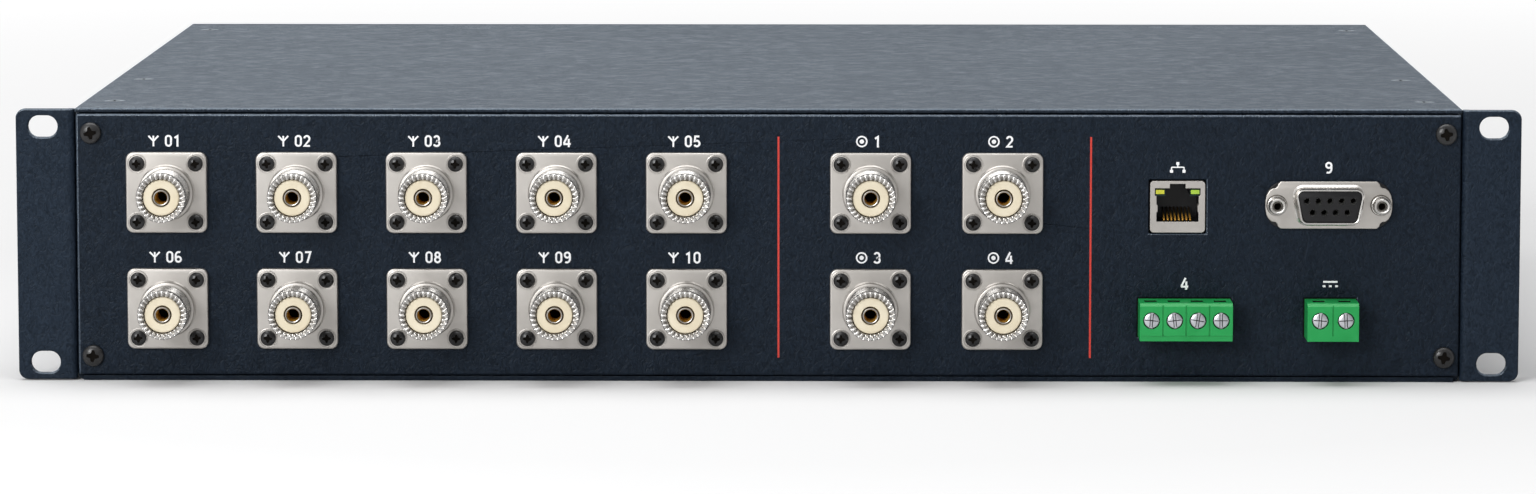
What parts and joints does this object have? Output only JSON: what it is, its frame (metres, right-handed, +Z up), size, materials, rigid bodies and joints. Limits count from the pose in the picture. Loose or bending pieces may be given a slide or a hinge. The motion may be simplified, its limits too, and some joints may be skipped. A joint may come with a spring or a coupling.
{
  "type": "coaxial antenna switch",
  "caption": "Rack-mounted coaxial antenna switch with UHF sockets for antennas and radios, network and serial sockets and green screw terminals on its front.",
  "frame": {"origin": "bottom centre of the case, on its flat underside", "axes": "+X to the right of someone facing the front, +Y to the back, +Z up"},
  "size_m": [0.4824, 0.3713, 0.0881],
  "materials": {
    "case_paint": "fine-grained powder coat",
    "ear_paint": "fine-grained powder coat",
    "black_screw": "black oxide, satin",
    "zinc_screw": "zinc plated",
    "nickel": "satin nickel plate",
    "insulator": "cream moulded insulator",
    "silver_contact": "silver plate",
    "gold_contact": "gold plate",
    "tin": "tin plate",
    "black_plastic": "moulded",
    "green_plastic": "moulded",
    "amber_light": "clear tinted lens",
    "green_light": "clear tinted lens",
    "board": "solder-masked laminate",
    "relay_case": "moulded",
    "ribbon": "vinyl",
    "jumper": "bare copper jacket, tinned"
  },
  "bodies": {
    "case": {"antenna_connector_01": "nickel", "antenna_connector_02": "nickel", "antenna_connector_03": "nickel", "antenna_connector_04": "nickel", "antenna_connector_05": "nickel", "antenna_connector_06": "nickel", "antenna_connector_07": "nickel", "antenna_connector_08": "nickel", "antenna_connector_09": "nickel", "antenna_connector_10": "nickel", "base_tray": "case_paint", "board_screws": "zinc_screw", "coax_jumpers": "jumper", "connector_contacts": "silver_contact", "connector_insulators": "insulator", "controller_chip": "black_plastic", "cover_screws": "case_paint", "data_terminal_housing": "green_plastic", "ear_screws": "case_paint", "flange_nuts": "zinc_screw", "flange_screws": "black_screw", "front_panel": "case_paint", "interface_board": "board", "interface_standoffs": "zinc_screw", "lan_contacts": "gold_contact", "lan_housing": "black_plastic", "lan_light_amber": "amber_light", "lan_light_green": "green_light", "lan_shield": "nickel", "matrix_board": "board", "matrix_relays": "relay_case", "matrix_spacers": "zinc_screw", "panel_screws": "black_screw", "power_terminal_housing": "green_plastic", "rack_ear_left": "ear_paint", "rack_ear_right": "ear_paint", "radio_connector_1": "nickel", "radio_connector_2": "nickel", "radio_connector_3": "nickel", "radio_connector_4": "nickel", "rear_panel": "case_paint", "ribbon_cable": "ribbon", "serial_contacts": "gold_contact", "serial_insulator": "black_plastic", "serial_shell": "nickel", "serial_standoffs": "nickel", "terminal_bars": "tin", "top_cover": "case_paint"},
    "data_terminal_screw_1": {"data_terminal_screw_1": "zinc_screw"},
    "data_terminal_clamp_1": {"data_terminal_clamp_1": "zinc_screw"},
    "data_terminal_screw_2": {"data_terminal_screw_2": "zinc_screw"},
    "data_terminal_clamp_2": {"data_terminal_clamp_2": "zinc_screw"},
    "data_terminal_screw_3": {"data_terminal_screw_3": "zinc_screw"},
    "data_terminal_clamp_3": {"data_terminal_clamp_3": "zinc_screw"},
    "data_terminal_screw_4": {"data_terminal_screw_4": "zinc_screw"},
    "data_terminal_clamp_4": {"data_terminal_clamp_4": "zinc_screw"},
    "power_terminal_screw_1": {"power_terminal_screw_1": "zinc_screw"},
    "power_terminal_clamp_1": {"power_terminal_clamp_1": "zinc_screw"},
    "power_terminal_screw_2": {"power_terminal_screw_2": "zinc_screw"},
    "power_terminal_clamp_2": {"power_terminal_clamp_2": "zinc_screw"}
  },
  "joints": [
    {"name": "data_terminal_screw_1_turn", "type": "hinge", "parent": "case", "child": "data_terminal_screw_1", "pos_m": [0.1227, -0.186, 0.02145], "axis": [0, 1, 0], "range_deg": [0, 1760.5]},
    {"name": "data_terminal_clamp_1_rise", "type": "slide", "parent": "case", "child": "data_terminal_clamp_1", "axis": [0, -1, 0], "range_m": [0, 0.0022]},
    {"name": "data_terminal_screw_2_turn", "type": "hinge", "parent": "case", "child": "data_terminal_screw_2", "pos_m": [0.1301, -0.186, 0.02145], "axis": [0, 1, 0], "range_deg": [0, 1760.5]},
    {"name": "data_terminal_clamp_2_rise", "type": "slide", "parent": "case", "child": "data_terminal_clamp_2", "axis": [0, -1, 0], "range_m": [0, 0.0022]},
    {"name": "data_terminal_screw_3_turn", "type": "hinge", "parent": "case", "child": "data_terminal_screw_3", "pos_m": [0.1375, -0.186, 0.02145], "axis": [0, 1, 0], "range_deg": [0, 1760.5]},
    {"name": "data_terminal_clamp_3_rise", "type": "slide", "parent": "case", "child": "data_terminal_clamp_3", "axis": [0, -1, 0], "range_m": [0, 0.0022]},
    {"name": "data_terminal_screw_4_turn", "type": "hinge", "parent": "case", "child": "data_terminal_screw_4", "pos_m": [0.1449, -0.186, 0.02145], "axis": [0, 1, 0], "range_deg": [0, 1760.5]},
    {"name": "data_terminal_clamp_4_rise", "type": "slide", "parent": "case", "child": "data_terminal_clamp_4", "axis": [0, -1, 0], "range_m": [0, 0.0022]},
    {"name": "power_terminal_screw_1_turn", "type": "hinge", "parent": "case", "child": "power_terminal_screw_1", "pos_m": [0.1765, -0.186, 0.02145], "axis": [0, 1, 0], "range_deg": [0, 1760.5]},
    {"name": "power_terminal_clamp_1_rise", "type": "slide", "parent": "case", "child": "power_terminal_clamp_1", "axis": [0, -1, 0], "range_m": [0, 0.0022]},
    {"name": "power_terminal_screw_2_turn", "type": "hinge", "parent": "case", "child": "power_terminal_screw_2", "pos_m": [0.1847, -0.186, 0.02145], "axis": [0, 1, 0], "range_deg": [0, 1760.5]},
    {"name": "power_terminal_clamp_2_rise", "type": "slide", "parent": "case", "child": "power_terminal_clamp_2", "axis": [0, -1, 0], "range_m": [0, 0.0022]}
  ],
  "couplings": [
    {"joint": "data_terminal_screw_1_turn", "follows": "data_terminal_clamp_1_rise", "rad_per_m": 13963},
    {"joint": "data_terminal_screw_2_turn", "follows": "data_terminal_clamp_2_rise", "rad_per_m": 13963},
    {"joint": "data_terminal_screw_3_turn", "follows": "data_terminal_clamp_3_rise", "rad_per_m": 13963},
    {"joint": "data_terminal_screw_4_turn", "follows": "data_terminal_clamp_4_rise", "rad_per_m": 13963},
    {"joint": "power_terminal_screw_1_turn", "follows": "power_terminal_clamp_1_rise", "rad_per_m": 13963},
    {"joint": "power_terminal_screw_2_turn", "follows": "power_terminal_clamp_2_rise", "rad_per_m": 13963}
  ]
}
